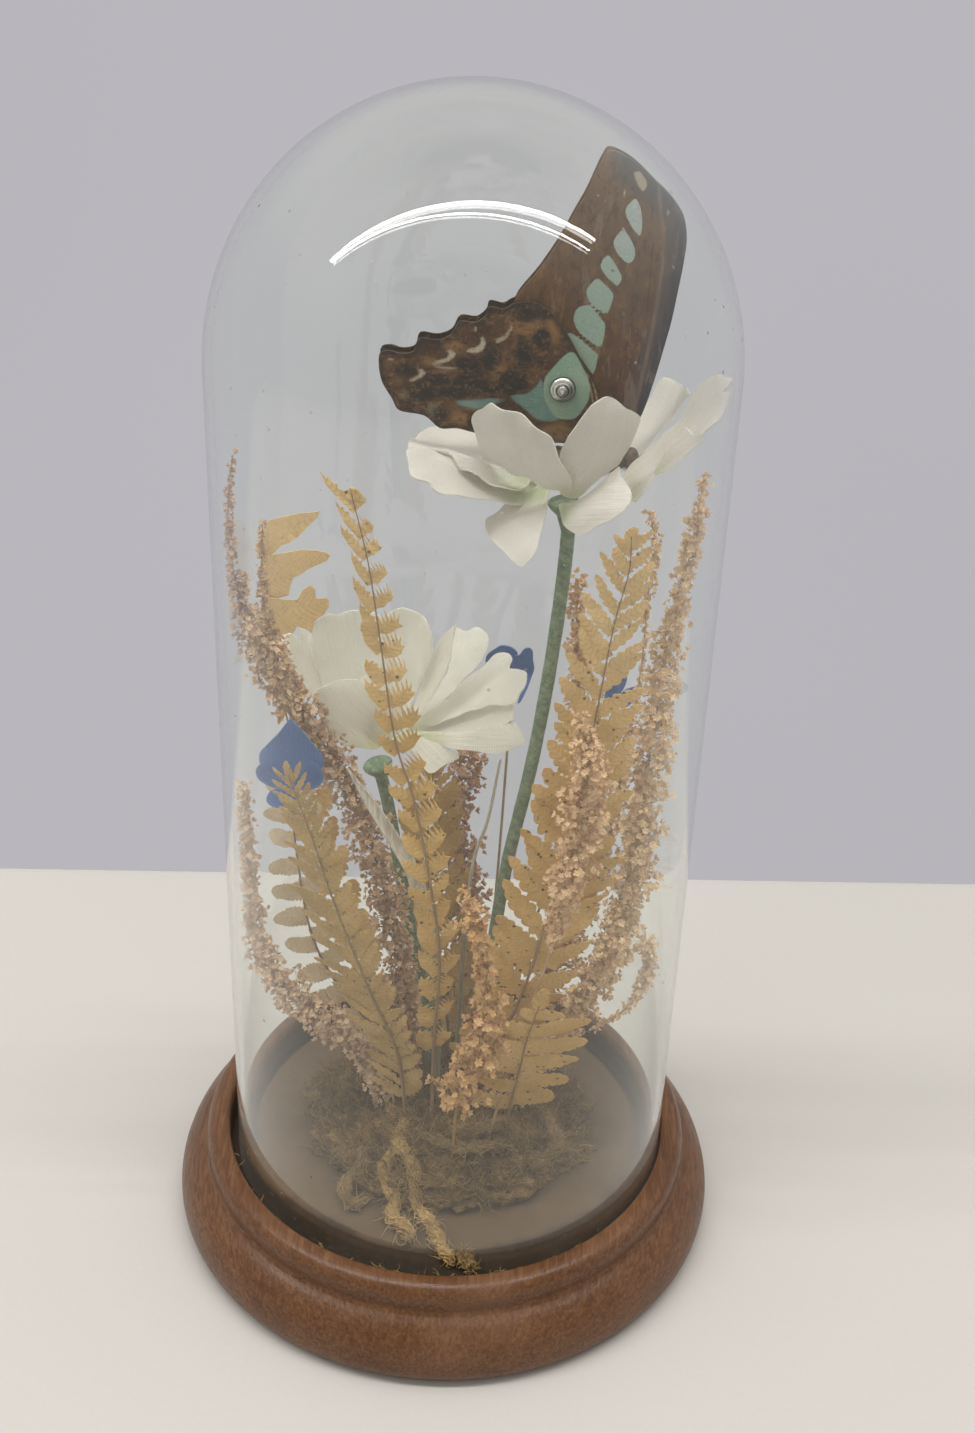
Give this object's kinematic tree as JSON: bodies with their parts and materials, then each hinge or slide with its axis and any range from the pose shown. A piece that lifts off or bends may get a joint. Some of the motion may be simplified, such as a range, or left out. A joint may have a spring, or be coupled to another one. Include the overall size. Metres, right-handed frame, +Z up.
{
  "type": "butterfly specimen in glass dome",
  "caption": "Dried butterfly with closed wings on a white cloth flower, among ferns and plumes on moss, under a clear glass dome on a turned wooden base.",
  "frame": {"origin": "middle of the base's underside, on the surface that it stands on", "axes": "+X to the right of the front, +Y to the back, +Z up along the dome's axis"},
  "size_m": [0.1062, 0.1062, 0.2158],
  "materials": {
    "wood": "satin, turned",
    "glass": "clear blown glass",
    "moss": "dry, matt",
    "golden_moss": "dry, matt",
    "body": "dried, hairy",
    "wing": "scaly, matt with pale blue-green spots",
    "pin": "polished",
    "white_cloth": "fine woven cloth",
    "blue_cloth": "fine woven cloth",
    "green_tape": "wound crepe tape",
    "fern": "dried leaf, matt",
    "plume": "dried flower, matt",
    "pale_blade": "dried blade, matt"
  },
  "bodies": {
    "root": {"wooden_base": "wood", "glass_dome": "glass", "moss_mound": "moss", "moss_strand": "golden_moss", "butterfly_body": "body", "near_forewing": "wing", "near_hindwing": "wing", "far_forewing": "wing", "far_hindwing": "wing", "wing_pin": "pin", "upper_petal_1": "white_cloth", "upper_petal_2": "white_cloth", "upper_petal_3": "white_cloth", "upper_petal_4": "white_cloth", "upper_petal_5": "white_cloth", "upper_petal_6": "white_cloth", "upper_petal_7": "white_cloth", "upper_petal_8": "white_cloth", "upper_petal_9": "white_cloth", "upper_flower_stem": "green_tape", "lower_petal_1": "white_cloth", "lower_petal_2": "white_cloth", "lower_petal_3": "white_cloth", "lower_petal_4": "white_cloth", "lower_petal_5": "white_cloth", "lower_petal_6": "white_cloth", "lower_petal_7": "white_cloth", "lower_petal_8": "white_cloth", "lower_petal_9": "white_cloth", "lower_petal_10": "white_cloth", "lower_petal_11": "white_cloth", "lower_petal_12": "white_cloth", "lower_flower_stem": "green_tape", "blue_flower_left": "blue_cloth", "blue_flower_back": "blue_cloth", "blue_flower_right": "blue_cloth", "fern_front": "fern", "fern_back": "fern", "fern_left": "fern", "fern_brown": "fern", "fern_right": "fern", "fern_low_right": "fern", "fern_middle": "fern", "plume_left": "plume", "plume_left_branch": "plume", "plume_left_low": "plume", "plume_right": "plume", "plume_right_middle": "plume", "plume_right_low": "plume", "plume_right_branch": "plume", "plume_front": "plume", "plume_back": "plume", "sprig_right": "plume", "pale_leaf": "pale_blade", "pale_stem": "pale_blade"}
  },
  "joints": []
}
